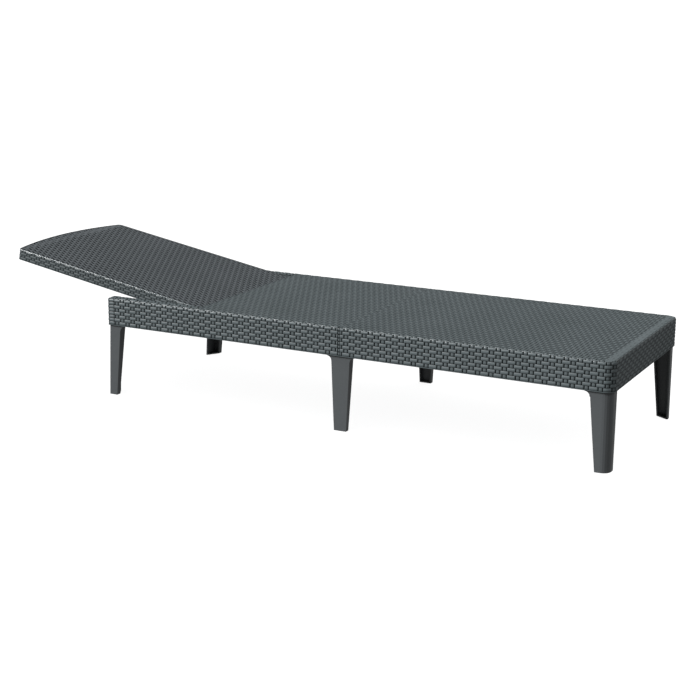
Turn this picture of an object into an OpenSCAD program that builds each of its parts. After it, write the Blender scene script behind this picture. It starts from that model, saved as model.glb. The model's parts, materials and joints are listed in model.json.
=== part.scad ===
// Reclining sun lounger in moulded resin: a deck frame in two halves on six legs,
// with a hinged backrest that a prop holds up on notched racks.
// +X points to the foot end, +Y to the lying person's left, +Z up from the ground.

/* [Frame] */
// Length of the deck frame
frame_l = 1490; // [1440:10:1560]
// Width of the deck frame
frame_w = 580; // [560:2:620]
// Height of the deck above the ground
deck_h = 285; // [270:1:330]
// Height of the frame's side wall
apron_h = 79; // [76:1:88]
// Width of the rims beside the backrest
rim_w = 34.5; // [34:0.5:38]
// Wall thickness of the mouldings
shell_t = 4; // [3.5:0.5:4.5]
// Radius of the upright corners at the foot end
foot_corner_r = 28; // [24:1:34]
// Radius of the upright corners at the head end
head_corner_r = 6; // [5:1:8]

/* [Backrest] */
// Distance from the frame's head end to the hinge axis
hinge_from_head = 250; // [246:1:254]
// Depth of the hinge axis below the deck
hinge_drop = 16; // [15:0.5:17]
// Reach of the backrest from the hinge axis to its head edge
panel_reach = 630; // [600:5:660]
// Reach of the backrest's tail past the hinge axis
panel_tail = 41; // [38:0.5:41]
// Depth of the backrest's skirt
panel_t = 32; // [30:0.5:33]
// Gap between the backrest and each rim
side_gap = 1.5; // [1:0.1:2]
// Rise of the arched head edge between its corners and its middle
arch_rise = 29; // [20:1:40]
// Radius of the backrest's corners at the head edge
panel_corner_r = 14; // [8:1:20]
// Raised angle of the backrest
tilt = 10; // [6:1:14]

/* [Legs] */
// Inset of the legs from the frame's outer faces
leg_inset = 4.5; // [4.5:0.5:8]
// Wall thickness of the legs
leg_t = 4; // [3:0.5:4.5]
// Inward lean of each leg's outer face from top to ground
leg_lean = 1; // [0:1:14]

/* [Prop] */
// Distance from the hinge axis to the prop's pivot
prop_r = 112; // [110:1:114]
// Length of the prop's arms between centres
prop_l = 124; // [123:0.5:126]
// Depth of the racks' track below the hinge axis
track_drop = 30; // [29:0.5:31]
// Degrees the prop swings down for each degree the backrest rises
prop_gain = 1.1; // [1.09:0.01:1.11]
// Radius of the bushes that run on the racks
bush_r = 6.5; // [6:0.1:6.8]
// Radius of the steel cross bar
bar_r = 5; // [4.5:0.1:5.2]

/* [Hidden] */
$fn = 48;
eps = 0.01;
cut = 1;
lap = 1;
RIGHT = -1;
LEFT = 1;
HEAD = -1;
FOOT = 1;

// cut is how far a cut runs past a face, lap how far a rib runs into a wall
// Fits: radial clearance of a turning shaft, and of a screw or bolt in its hole
run_fit = 0.06;
hold_fit = 0.1;

// Frame
half_l = frame_l / 2;
half_w = frame_w / 2;
apron_z = deck_h - apron_h;
rim_in = half_w - rim_w;
deck_under = deck_h - shell_t;
seam_gap = 0.15;
inner_wall_z = apron_z + 10.5;
rib_t = 3;
rib_h = 22;
wall_clear = 0.6;
foot_ribs = [150, 300, 450, 600];
head_ribs = [-300, -150];
rim_webs = [-640, -560];
long_ribs = [-85, 85];

// Hinge and backrest, measured from the hinge axis
hinge_x = -half_l + hinge_from_head;
hinge_z = deck_h - hinge_drop;
panel_half_w = rim_in - side_gap;
deck_edge_gap = 4;
deck_edge_x = hinge_x + panel_tail + deck_edge_gap;
panel_under = hinge_drop - panel_t;
panel_skin = hinge_drop - shell_t;
panel_rib_h = 18;
panel_rib_x = [-570, -460, -320, -180];
panel_rib_y = [-216, -75, 75, 216];
arch_r = (pow(panel_half_w, 2) + pow(arch_rise, 2)) / (2 * arch_rise);
pin_r = 5;
pin_boss_r = 11;
boss_l = 14;
pin_head_r = 8.5;
pin_head_h = 3;

// The frame's origin is under the middle of the raised lounger
head_x = hinge_x + panel_under * sin(tilt) - panel_reach * cos(tilt);
mid_x = (head_x + half_l) / 2;

// Legs: [length along the side, depth of the end or first flange, depth of the return]
leg_top = apron_z + 9;
head_leg_top = [37, 50, 26];
head_leg_foot = [26, 50, 15];
foot_leg_top = [57, 44, 22];
foot_leg_foot = [37, 36, 15];
mid_leg_top = [56, 24];
mid_leg_foot = [36, 15];
head_leg_corner_r = 3;
foot_leg_corner_r = foot_corner_r - leg_inset;
// Outward splay of the corner legs along the deck
head_leg_splay = 8;
foot_leg_splay = 2;
leg_sole_t = 4;
leg_fillet_r = 13;
fillet_lap = 3;
flange_room = leg_t + 5;
leg_far = 80;
plug_top = apron_z + 35;
plug_floor = leg_top - leg_t - 2;
plug_gap = 0.6;
plug_y = [9, 28];
plug_head_x = [9, 40];
plug_foot_x = [19, 57];
plug_mid_x = [-26, 26];
screw_r = 2.5;
screw_l = 30;
screw_head_r = 5.2;
screw_head_h = 3.4;
screw_boss_r = 7;
screw_y = (plug_y[0] + plug_y[1]) / 2;
screw_head_x = [18.5, 30.5];
screw_foot_x = [29, 47];
screw_mid_x = [-16, 16];

// Bolts across the joint of the two halves
bolt_r = 4;
bolt_y = [-200, -70, 70, 200];
bolt_z = apron_z + 24;
bolt_head_r = 7.2;
bolt_head_h = 5.3;
washer_r = 9;
washer_t = 1.6;
nut_t = 6.5;
bolt_grip = shell_t + seam_gap + washer_t;
bolt_l = 2 * bolt_grip + nut_t + 3;

// Prop and racks
prop_drop = asin((prop_r * sin(tilt) + track_drop) / prop_l);
arm_t = 8;
arm_y = 235;
arm_w = 15;
arm_eye_r = 9;
lug_t = 6;
lug_gap = 1.5;
lug_r = 9;
lug_in_y = arm_y - arm_t / 2 - lug_gap - lug_t;
lug_out_y = arm_y + arm_t / 2 + lug_gap;
prop_pin_r = 4;
prop_pin_head_r = 6.5;
prop_pin_head_h = 2.5;
bush_in = arm_y + arm_t / 2 + 6;
bush_out = rim_in - 1.5;
bush_cap_t = 1.8;
bar_half_l = bush_out - 2;
rack_t = 8;
rack_boss_r = 5.5;
rack_boss_l = 10;
rack_from = -2;
rack_to = 54;
rack_clear = 0.8;
rack_floor = -56;
rest_angles = [10, 20, 30, 40, 50];
notch_drop = 5;
notch_r = bush_r + 0.5;
rack_screw_r = 2;
rack_screw_l = 15;
rack_screw_head_r = 4;
rack_screw_head_h = 2.2;
rack_screws_at = [[-188, -50], [-125, -50]];

// ---------------------------------------------------------------- placing

// Frame coordinates: X from the frame's middle
module at_frame() translate([-mid_x, 0, 0]) children();

// Hinge coordinates of the fixed frame: origin on the hinge axis
module at_hinge() at_frame() translate([hinge_x, 0, hinge_z]) children();

// Backrest coordinates: as the hinge's, raised by the tilt
module at_panel() at_hinge() rotate([0, tilt, 0]) children();

// Corner coordinates: x inward from the end, y inward from the side
module at_corner(end, side)
    at_frame()
        translate([end * half_l, side * half_w, 0])
            scale_sign(-end, -side)
                children();

module at_mid(side)
    at_frame()
        translate([0, side * half_w, 0])
            scale_sign(1, -side)
                children();

// Mirrors its children across X and Y where a sign is negative
module scale_sign(sx, sy)
    rotate([0, 0, sx < 0 && sy < 0 ? 180 : 0])
        mirror([sx < 0 && sy > 0 ? 1 : 0, sx > 0 && sy < 0 ? 1 : 0, 0])
            children();

// A cylinder along Y from y0 to y1
module rod_y(r, y0, y1)
    translate([0, y0, 0])
        rotate([-90, 0, 0])
            cylinder(r = r, h = y1 - y0);

// Repeats its children at each point, given as [x, z]
module at_xz(points)
    for (p = points)
        translate([p[0], 0, p[1]])
            children();

// Both sides of the lounger, from a piece on the +Y side
module both_sides() {
    children();
    mirror([0, 1, 0]) children();
}

// ---------------------------------------------------------------- outlines

// Plan from the joint at x0 to an end at x1, with two rounded corners at x1
module half_plan(x0, x1, half_width, r) {
    translate([x0, -half_width])
        square([x1 - r - x0, 2 * half_width]);
    translate([x1 - r - eps, -half_width + r])
        square([r + eps, 2 * (half_width - r)]);
    for (s = [-1, 1])
        translate([x1 - r, s * (half_width - r)])
            circle(r = r);
}

// The backrest's plan with +x to its head, drawn in by an inset
module panel_plan(inset) {
    w = panel_half_w - inset;
    big_r = arch_r - inset;
    corner_r = panel_corner_r - inset;
    centre_x = panel_reach - arch_r;
    tail_x = -panel_tail + inset;
    corner_y = w - corner_r;
    corner_x = centre_x + sqrt(pow(big_r - corner_r, 2) - pow(corner_y, 2));
    difference() {
        intersection() {
            translate([tail_x, -w])
                square([panel_reach - tail_x, 2 * w]);
            translate([centre_x, 0])
                circle(r = big_r, $fn = 200);
        }
        for (s = [-1, 1])
            difference() {
                polygon([
                    [corner_x, s * corner_y],
                    [corner_x, s * (w + 1)],
                    [corner_x + corner_r + 5, s * (w + 1)],
                    [corner_x + corner_r + 5, s * (corner_y + corner_r * corner_y / big_r)]
                ]);
                translate([corner_x, s * corner_y])
                    circle(r = corner_r);
            }
    }
}

// ---------------------------------------------------------------- frame halves

// Shell of one frame half with a closed wall at the joint, open below
module half_shell(r)
    difference() {
        translate([0, 0, apron_z])
            linear_extrude(apron_h)
                half_plan(seam_gap, half_l, half_w, r);
        translate([0, 0, apron_z - cut])
            linear_extrude(apron_h - shell_t + cut)
                half_plan(seam_gap + shell_t, half_l - shell_t, half_w - shell_t, r - shell_t);
    }

// Long inner walls that make the rims box sections
module inner_walls(x0, x1)
    both_sides()
        translate([x0, rim_in, inner_wall_z])
            cube([x1 - x0, shell_t, deck_under - inner_wall_z + eps]);

module cross_ribs(xs, y0, y1)
    for (x = xs)
        translate([x - rib_t / 2, y0, deck_under - rib_h])
            cube([rib_t, y1 - y0, rib_h + eps]);

module deck_long_ribs(x0, x1)
    for (y = long_ribs)
        translate([x0, y - rib_t / 2, deck_under - rib_h])
            cube([x1 - x0, rib_t, rib_h + eps]);

module screw_bosses(xs)
    for (x = xs)
        translate([x, screw_y, plug_top])
            cylinder(r = screw_boss_r, h = deck_under - plug_top + eps);

module screw_holes(xs)
    for (x = xs)
        translate([x, screw_y, plug_top - cut])
            cylinder(r = screw_r + hold_fit, h = screw_l - shell_t + 3);

// Room for a leg's top and plug, cut from walls that cross the rim's inside
module plug_room(xs)
    translate([xs[0] - plug_gap, leg_inset - plug_gap, apron_z - cut])
        cube([
            xs[1] - xs[0] + 2 * plug_gap,
            plug_y[1] - leg_inset + 2 * plug_gap,
            plug_top - apron_z + cut
        ]);

module seam_bolt_holes()
    for (y = bolt_y)
        translate([-bolt_l / 2, y, bolt_z])
            rotate([0, 90, 0])
                cylinder(r = bolt_r + hold_fit, h = bolt_l);

module foot_frame()
    color("darkslategray")
        difference() {
            union() {
                at_frame() {
                    half_shell(foot_corner_r);
                    inner_walls(seam_gap, half_l - shell_t + eps);
                    cross_ribs(foot_ribs, -half_w + lap, half_w - lap);
                    deck_long_ribs(seam_gap + lap, half_l - lap);
                }
                for (side = [RIGHT, LEFT]) {
                    at_corner(FOOT, side) screw_bosses(screw_foot_x);
                    at_mid(side) screw_bosses([screw_mid_x[1]]);
                }
            }
            for (side = [RIGHT, LEFT]) {
                at_corner(FOOT, side) screw_holes(screw_foot_x);
                at_mid(side) {
                    screw_holes([screw_mid_x[1]]);
                    plug_room(plug_mid_x);
                }
            }
            at_frame() seam_bolt_holes();
        }

module hinge_bosses()
    both_sides()
        rod_y(pin_boss_r, rim_in, rim_in + boss_l);

module hinge_holes()
    both_sides()
        rod_y(pin_r + run_fit, rim_in - cut, rim_in + boss_l + cut);

module rack_bosses()
    both_sides()
        at_xz(rack_screws_at)
            rod_y(rack_boss_r, rim_in, rim_in + rack_boss_l);

module rack_screw_holes()
    both_sides()
        at_xz(rack_screws_at)
            rod_y(rack_screw_r + hold_fit, rim_in - cut, rim_in + rack_boss_l - cut);

// Everything that the backrest and its prop need free between the rims
module backrest_well() {
    well_l = half_l + deck_edge_x;
    translate([-half_l + shell_t, -rim_in, apron_z - cut])
        cube([well_l - shell_t, 2 * rim_in, apron_h + 2 * cut]);
    translate([-half_l - cut, -rim_in, deck_h - panel_t - wall_clear])
        cube([shell_t + 2 * cut, 2 * rim_in, panel_t + 2 * cut]);
}

module head_frame()
    color("darkslategray")
        difference() {
            union() {
                at_frame() {
                    difference() {
                        mirror([1, 0, 0]) half_shell(head_corner_r);
                        backrest_well();
                    }
                    inner_walls(-half_l + shell_t - eps, -seam_gap);
                    translate([deck_edge_x, -rim_in - lap, apron_z])
                        cube([shell_t, 2 * (rim_in + lap), apron_h - lap]);
                    cross_ribs(head_ribs, -half_w + lap, half_w - lap);
                    both_sides() cross_ribs(rim_webs, rim_in + lap, half_w - lap);
                    deck_long_ribs(deck_edge_x + lap, -seam_gap - lap);
                }
                at_hinge() {
                    hinge_bosses();
                    rack_bosses();
                }
                for (side = [RIGHT, LEFT]) {
                    at_corner(HEAD, side) screw_bosses(screw_head_x);
                    at_mid(side) screw_bosses([screw_mid_x[0]]);
                }
            }
            at_hinge() {
                hinge_holes();
                rack_screw_holes();
            }
            for (side = [RIGHT, LEFT]) {
                at_corner(HEAD, side) screw_holes(screw_head_x);
                at_mid(side) {
                    screw_holes([screw_mid_x[0]]);
                    plug_room(plug_mid_x);
                }
            }
            at_frame() seam_bolt_holes();
        }

// ---------------------------------------------------------------- legs

// Solid between two convex outlines with the same number of points
module loft(bottom, top, z0, z1) {
    n = len(bottom);
    polyhedron(
        points = concat(
            [for (p = bottom) [p[0], p[1], z0]],
            [for (p = top) [p[0], p[1], z1]]
        ),
        faces = concat(
            [[for (i = [0:n - 1]) i]],
            [[for (i = [0:n - 1]) 2 * n - 1 - i]],
            [for (i = [0:n - 1]) [i, n + i, n + (i + 1) % n, (i + 1) % n]]
        )
    );
}

function shifted(points, dx, dy) = [for (p = points) [p[0] + dx, p[1] + dy]];

function arc(cx, cy, r, a0, a1, steps) =
    [for (i = [0:steps]) let (a = a0 + (a1 - a0) * i / steps) [cx + r * cos(a), cy + r * sin(a)]];

function box_outline(x0, y0, x1, y1) = [[x0, y0], [x1, y0], [x1, y1], [x0, y1]];

// Box outline whose corner nearest the origin is rounded
function rounded_outline(x0, y0, x1, y1, r) =
    concat(arc(x0 + r, y0 + r, r, 180, 270, 6), [[x1, y0], [x1, y1], [x0, y1]]);

// Corner leg's shell: walls on x = 0 and y = 0 with a return at the far end of its face
module corner_shell(top, foot, r, dx, dy) {
    inner_r = max(r - leg_t, 0.5);
    difference() {
        loft(
            shifted(rounded_outline(0, 0, foot[0], foot[1], r), leg_inset + dx, leg_inset + dy),
            shifted(rounded_outline(0, 0, top[0], top[1], r), leg_inset, leg_inset),
            0, leg_top
        );
        loft(
            shifted(rounded_outline(leg_t, leg_t, foot[0] - leg_t, leg_far, inner_r),
                leg_inset + dx, leg_inset + dy),
            shifted(rounded_outline(leg_t, leg_t, top[0] - leg_t, leg_far, inner_r),
                leg_inset, leg_inset),
            leg_sole_t, leg_top + eps
        );
        loft(
            shifted(box_outline(flange_room, foot[2], leg_far, leg_far),
                leg_inset + dx, leg_inset + dy),
            shifted(box_outline(flange_room, top[2], leg_far, leg_far), leg_inset, leg_inset),
            leg_sole_t, leg_top + eps
        );
        // The sole ends on a straight line from the end wall's edge to the return's
        translate([leg_inset + dx, leg_inset + dy, -cut])
            linear_extrude(leg_sole_t + cut + eps)
                polygon([
                    [leg_t, foot[1]],
                    [foot[0], foot[2]],
                    [leg_far, foot[2]],
                    [leg_far, leg_far],
                    [leg_t, leg_far]
                ]);
    }
}

// Middle leg's shell: a channel with its face on y = 0
module mid_shell(top, foot, dy)
    difference() {
        loft(
            shifted(box_outline(-foot[0] / 2, 0, foot[0] / 2, foot[1]), 0, leg_inset + dy),
            shifted(box_outline(-top[0] / 2, 0, top[0] / 2, top[1]), 0, leg_inset),
            0, leg_top
        );
        loft(
            shifted(box_outline(-foot[0] / 2 + leg_t, leg_t, foot[0] / 2 - leg_t, leg_far),
                0, leg_inset + dy),
            shifted(box_outline(-top[0] / 2 + leg_t, leg_t, top[0] / 2 - leg_t, leg_far),
                0, leg_inset),
            leg_sole_t, leg_top + eps
        );
    }

// Concave web that widens a leg's face where it meets the frame, towards +x
module face_fillet(x)
    translate([x, leg_inset + leg_t, apron_z - leg_fillet_r - 2])
        rotate([90, 0, 0])
            linear_extrude(leg_t)
                difference() {
                    translate([-fillet_lap, 0])
                        square([leg_fillet_r + fillet_lap, leg_fillet_r + 2 * fillet_lap]);
                    translate([leg_fillet_r, 0])
                        circle(r = leg_fillet_r);
                }

// Box that plugs up into the rim, closed at its top and open below,
// with a flange at its foot that ties it to the leg's shell from x0 to x1
module leg_plug(xs, screws, x0, x1)
    difference() {
        union() {
            translate([xs[0], plug_y[0], plug_floor])
                cube([xs[1] - xs[0], plug_y[1] - plug_y[0], plug_top - plug_floor]);
            translate([x0, leg_inset + lap, plug_floor])
                cube([x1 - x0, plug_y[1] - leg_inset - lap, leg_t]);
        }
        translate([xs[0] + leg_t, plug_y[0] + leg_t, plug_floor - cut])
            cube([
                xs[1] - xs[0] - 2 * leg_t,
                plug_y[1] - plug_y[0] - 2 * leg_t,
                plug_top - plug_floor - leg_t + cut
            ]);
        for (x = screws)
            translate([x, screw_y, plug_top - leg_t - cut])
                cylinder(r = screw_r + hold_fit, h = leg_t + 2 * cut);
    }

module corner_leg(top, foot, r, plug_xs, screws, splay) {
    corner_shell(top, foot, r, -splay, leg_lean);
    face_fillet(leg_inset + top[0] - lap);
    leg_plug(plug_xs, screws, leg_inset + r, leg_inset + top[0] - lap);
}

module head_leg(side)
    color("dimgray")
        at_corner(HEAD, side)
            corner_leg(head_leg_top, head_leg_foot, head_leg_corner_r,
                plug_head_x, screw_head_x, head_leg_splay);

module foot_leg(side)
    color("dimgray")
        at_corner(FOOT, side)
            corner_leg(foot_leg_top, foot_leg_foot, foot_leg_corner_r,
                plug_foot_x, screw_foot_x, foot_leg_splay);

module mid_leg(side)
    color("dimgray")
        at_mid(side) {
            mid_shell(mid_leg_top, mid_leg_foot, leg_lean);
            face_fillet(mid_leg_top[0] / 2 - lap);
            mirror([1, 0, 0]) face_fillet(mid_leg_top[0] / 2 - lap);
            leg_plug(plug_mid_x, screw_mid_x, lap - mid_leg_top[0] / 2, mid_leg_top[0] / 2 - lap);
        }

module leg_screw() {
    cylinder(r = screw_r, h = screw_l);
    translate([0, 0, -screw_head_h])
        cylinder(r = screw_head_r, h = screw_head_h);
}

module leg_screw_row(xs)
    for (x = xs)
        translate([x, screw_y, plug_top - leg_t])
            leg_screw();

module leg_screws()
    color("silver")
        for (side = [RIGHT, LEFT]) {
            at_corner(HEAD, side) leg_screw_row(screw_head_x);
            at_mid(side) leg_screw_row(screw_mid_x);
            at_corner(FOOT, side) leg_screw_row(screw_foot_x);
        }

// ---------------------------------------------------------------- joint bolts

// Repeats its children at each joint bolt, with +z along the bolt towards the foot end
module at_bolts()
    at_frame()
        for (y = bolt_y)
            translate([0, y, bolt_z])
                rotate([0, 90, 0])
                    children();

module seam_bolts()
    color("silver")
        at_bolts() {
            translate([0, 0, -bolt_grip])
                cylinder(r = bolt_r, h = bolt_l);
            translate([0, 0, -bolt_grip - bolt_head_h])
                cylinder(r = bolt_head_r, h = bolt_head_h, $fn = 6);
        }

module seam_washers()
    color("silver")
        at_bolts()
            for (z = [-bolt_grip, bolt_grip - washer_t])
                translate([0, 0, z])
                    difference() {
                        cylinder(r = washer_r, h = washer_t);
                        translate([0, 0, -cut])
                            cylinder(r = bolt_r + hold_fit, h = washer_t + 2 * cut);
                    }

module seam_nuts()
    color("silver")
        at_bolts()
            translate([0, 0, bolt_grip])
                difference() {
                    cylinder(r = bolt_head_r, h = nut_t, $fn = 6);
                    translate([0, 0, -cut])
                        cylinder(r = bolt_r + hold_fit, h = nut_t + 2 * cut);
                }

// ---------------------------------------------------------------- racks

// Angle of the prop's arms below the head direction when the backrest is raised by a
function prop_angle(a) = prop_drop + prop_gain * (a - tilt);

// Centre of the cross bar from the hinge axis, as [x, z], at backrest angle a
function bar_at(a) = [
    -prop_r * cos(a) - prop_l * cos(prop_angle(a)),
    prop_r * sin(a) - prop_l * sin(prop_angle(a))
];

// Point of the rack's top edge, square to the bar's path, at backrest angle a
function rack_top_at(a) =
    let (t = bar_at(a + 1) - bar_at(a - 1))
        bar_at(a) + [t[1], -t[0]] / norm(t) * (bush_r + rack_clear);

module rack_profile()
    difference() {
        polygon(concat(
            [for (a = [rack_from:4:rack_to]) rack_top_at(a)],
            [[rack_top_at(rack_to)[0], rack_floor], [rack_top_at(rack_from)[0], rack_floor]]
        ));
        for (a = rest_angles)
            translate(bar_at(a) - [0, notch_drop])
                circle(r = notch_r);
    }

module rack(side)
    color("dimgray")
        at_hinge()
            mirror([0, side > 0 ? 0 : 1, 0])
                difference() {
                    translate([0, rim_in, 0])
                        rotate([90, 0, 0])
                            linear_extrude(rack_t)
                                rack_profile();
                    at_xz(rack_screws_at)
                        rod_y(rack_screw_r + hold_fit, rim_in - rack_t - cut, rim_in + cut);
                }

module rack_screws()
    color("silver")
        at_hinge()
            both_sides()
                at_xz(rack_screws_at) {
                    rod_y(rack_screw_r, rim_in - rack_t, rim_in - rack_t + rack_screw_l);
                    rod_y(rack_screw_head_r, rim_in - rack_t - rack_screw_head_h, rim_in - rack_t);
                }

// ---------------------------------------------------------------- backrest

// Ribs under the backrest's skin, clear of the prop's arms
module panel_ribs() {
    rib_low = panel_skin - panel_rib_h;
    for (x = panel_rib_x)
        translate([x - rib_t / 2, panel_rib_y[0], rib_low])
            cube([rib_t, panel_rib_y[3] - panel_rib_y[0], panel_rib_h + eps]);
    for (y = panel_rib_y)
        translate([panel_rib_x[0] - rib_t / 2, y - rib_t / 2, rib_low])
            cube([panel_tail - lap - panel_rib_x[0], rib_t, panel_rib_h + eps]);
}

// Two lugs a side that hold the prop's pivot pins
module prop_lugs()
    both_sides()
        for (y = [lug_in_y, lug_out_y])
            translate([-prop_r, y, 0]) {
                rod_y(lug_r, 0, lug_t);
                translate([-lug_r, 0, 0])
                    cube([2 * lug_r, lug_t, panel_skin + eps]);
            }

module backrest_panel()
    color("darkslategray")
        at_panel()
            difference() {
                union() {
                    mirror([1, 0, 0])
                        difference() {
                            translate([0, 0, panel_under])
                                linear_extrude(panel_t)
                                    panel_plan(0);
                            translate([0, 0, panel_under - cut])
                                linear_extrude(panel_t - shell_t + cut)
                                    panel_plan(shell_t);
                        }
                    panel_ribs();
                    prop_lugs();
                    both_sides()
                        rod_y(pin_boss_r, panel_half_w - boss_l, panel_half_w);
                }
                both_sides() {
                    rod_y(pin_r + hold_fit, panel_half_w - boss_l - cut, panel_half_w + cut);
                    translate([-prop_r, 0, 0])
                        rod_y(prop_pin_r + hold_fit, lug_in_y - cut, panel_half_w - shell_t - cut);
                }
            }

module hinge_pin(side)
    color("dimgray")
        at_panel()
            mirror([0, side > 0 ? 0 : 1, 0]) {
                rod_y(pin_r, panel_half_w - boss_l, rim_in + boss_l - 1);
                rod_y(pin_head_r, panel_half_w - boss_l - pin_head_h, panel_half_w - boss_l);
            }

module prop_pin(side)
    color("silver")
        at_panel()
            mirror([0, side > 0 ? 0 : 1, 0])
                translate([-prop_r, 0, 0]) {
                    rod_y(prop_pin_r, lug_in_y, panel_half_w - shell_t - 2);
                    rod_y(prop_pin_head_r, lug_in_y - prop_pin_head_h, lug_in_y);
                }

// ---------------------------------------------------------------- prop

// Prop coordinates: origin at its pivot, arms along -x towards the cross bar
module at_prop()
    at_panel()
        translate([-prop_r, 0, 0])
            rotate([0, -tilt - prop_drop, 0])
                children();

module prop_arm(side)
    color("dimgray")
        at_prop()
            mirror([0, side > 0 ? 0 : 1, 0])
                difference() {
                    translate([0, arm_y - arm_t / 2, 0]) {
                        rod_y(arm_eye_r, 0, arm_t);
                        translate([-prop_l, 0, 0])
                            rod_y(arm_eye_r, 0, arm_t);
                        translate([-prop_l, 0, -arm_w / 2])
                            cube([prop_l, arm_t, arm_w]);
                    }
                    rod_y(prop_pin_r + run_fit, arm_y - arm_t, arm_y + arm_t);
                    translate([-prop_l, 0, 0])
                        rod_y(bar_r + hold_fit, arm_y - arm_t, arm_y + arm_t);
                }

module prop_crossbar()
    color("silver")
        at_prop()
            translate([-prop_l, 0, 0])
                rod_y(bar_r, -bar_half_l, bar_half_l);

module prop_bush(side)
    color("dimgray")
        at_prop()
            mirror([0, side > 0 ? 0 : 1, 0])
                translate([-prop_l, 0, 0])
                    difference() {
                        rod_y(bush_r, bush_in, bush_out);
                        rod_y(bar_r + hold_fit, bush_in - cut, bush_out - bush_cap_t);
                    }

// ---------------------------------------------------------------- nodes

head_frame();
foot_frame();
head_leg(RIGHT);  // leg_head_right
head_leg(LEFT);  // leg_head_left
mid_leg(RIGHT);  // leg_mid_right
mid_leg(LEFT);  // leg_mid_left
foot_leg(RIGHT);  // leg_foot_right
foot_leg(LEFT);  // leg_foot_left
leg_screws();
seam_bolts();
seam_washers();
seam_nuts();
rack(RIGHT);  // rack_right
rack(LEFT);  // rack_left
rack_screws();
backrest_panel();
hinge_pin(RIGHT);  // hinge_pin_right
hinge_pin(LEFT);  // hinge_pin_left
prop_pin(RIGHT);  // prop_pin_right
prop_pin(LEFT);  // prop_pin_left
prop_arm(RIGHT);  // prop_arm_right
prop_arm(LEFT);  // prop_arm_left
prop_crossbar();
prop_bush(RIGHT);  // prop_bush_right
prop_bush(LEFT);  // prop_bush_left
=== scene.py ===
"""The looks of a reclining sun lounger in moulded flat-weave resin, built round its CAD frame."""

import json
import math
from typing import NamedTuple

import bpy
import numpy as np
from mathutils import Matrix, Vector

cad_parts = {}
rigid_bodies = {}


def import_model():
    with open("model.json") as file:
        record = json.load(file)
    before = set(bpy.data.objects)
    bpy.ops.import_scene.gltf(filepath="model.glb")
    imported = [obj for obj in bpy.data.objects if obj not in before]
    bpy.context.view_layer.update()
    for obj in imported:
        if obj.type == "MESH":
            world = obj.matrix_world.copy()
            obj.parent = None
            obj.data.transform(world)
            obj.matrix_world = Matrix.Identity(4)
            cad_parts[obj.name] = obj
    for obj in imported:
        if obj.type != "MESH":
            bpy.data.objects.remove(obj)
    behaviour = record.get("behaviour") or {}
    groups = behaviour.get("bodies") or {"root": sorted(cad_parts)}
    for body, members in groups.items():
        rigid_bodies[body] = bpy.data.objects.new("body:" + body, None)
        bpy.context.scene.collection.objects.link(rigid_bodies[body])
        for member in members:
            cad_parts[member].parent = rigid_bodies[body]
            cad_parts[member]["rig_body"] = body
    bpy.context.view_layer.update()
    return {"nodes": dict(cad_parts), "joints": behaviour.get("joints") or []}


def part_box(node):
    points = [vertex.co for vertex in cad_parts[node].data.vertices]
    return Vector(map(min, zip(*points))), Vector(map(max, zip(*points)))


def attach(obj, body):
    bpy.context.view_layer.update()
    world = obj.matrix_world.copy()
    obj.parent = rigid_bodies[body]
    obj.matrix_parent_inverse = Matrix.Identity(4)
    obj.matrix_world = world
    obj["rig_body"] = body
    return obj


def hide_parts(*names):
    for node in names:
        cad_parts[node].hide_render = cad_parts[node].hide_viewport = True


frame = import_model()

# Lengths below are in millimetres in the model's frame, unless a comment says otherwise
MM = 0.001
QUARTER = math.pi / 2
TINY = 1e-6


def edges(node):
    """The low and high corners of a CAD node's box."""
    low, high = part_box(node)
    return np.array(low) / MM, np.array(high) / MM


foot_low, foot_high = edges("foot_frame")
SEAM = (foot_low[0] + edges("head_frame")[1][0]) / 2
SEAM_GAP = foot_low[0] - SEAM
HALF_L = foot_high[0] - SEAM
HALF_W = foot_high[1]
DECK = foot_high[2]
LOW = foot_low[2]
RIM_IN = edges("rack_left")[1][1]
FOOT_R = 28
HEAD_R = 6
HEAD_WALL_TOP = DECK - 32.6

hinge = next(j for j in frame["joints"] if j["name"] == "backrest_hinge")
HINGE = np.array(hinge["pos_m"]) / MM
TILT = math.radians(-hinge["range_deg"][0])

# The backrest in its own frame: origin on the hinge axis, p towards its head edge
PANEL_HALF_W = edges("backrest_panel")[1][1]
PANEL_REACH = 630
PANEL_TAIL = 41
PANEL_TOP = 16
PANEL_LOW = PANEL_TOP - 32
ARCH_RISE = 29
ARCH_R = (PANEL_HALF_W**2 + ARCH_RISE**2) / (2 * ARCH_RISE)
PANEL_CORNER_R = 14
SEAT_GAP = 4
SEAT_EDGE = HINGE[0] - SEAM + PANEL_TAIL + SEAT_GAP

# Woven skins SKIN thick lie on cores whose outer faces are CORE_INSET in. CLEAR keeps skins apart
SKIN = 2.35
CORE_INSET = 2.4
CLEAR = 0.05
EDGE_INSET = 5.2
EDGE_R = 5
SHARP_ANGLE = 62

# The weave: one over and one under along a strand. Strands are SIDE_ROW or TOP_ROW wide
PITCH = 35.6
SIDE_ROW = 9.45
TOP_ROW = 8.9
ROWS_LOW = LOW + 2.4
SIDE_RELIEF = 2.1
SIDE_EDGE_RELIEF = 1.7
WALL_EDGE_RELIEF = 0.9
SKIRT_RELIEF = 1.5
DECK_RELIEF = 1.35
PANEL_RELIEF = 2.0

# How an over and a stake are formed, as shares of the relief: top, fall to the ends, fall to the sides
OVER_FORM = (0.04, 0.16, 0.62)
STAKE_FORM = (0.28, 0.2, 0.4)
END_BLUR = 0.5

# Where a row is sampled across it, from -1 to 1, and along half a pitch
SIDE_SHARES = (-1, -0.85, -0.4, 0.4, 0.85)
TOP_SHARES = (-1, -0.8, -0.35, 0.35, 0.8)
PITCH_STEPS = (2.0, 6.2)
LEAST_PITCH_STEP = 0.75
LEAST_STEP = 0.45

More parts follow.
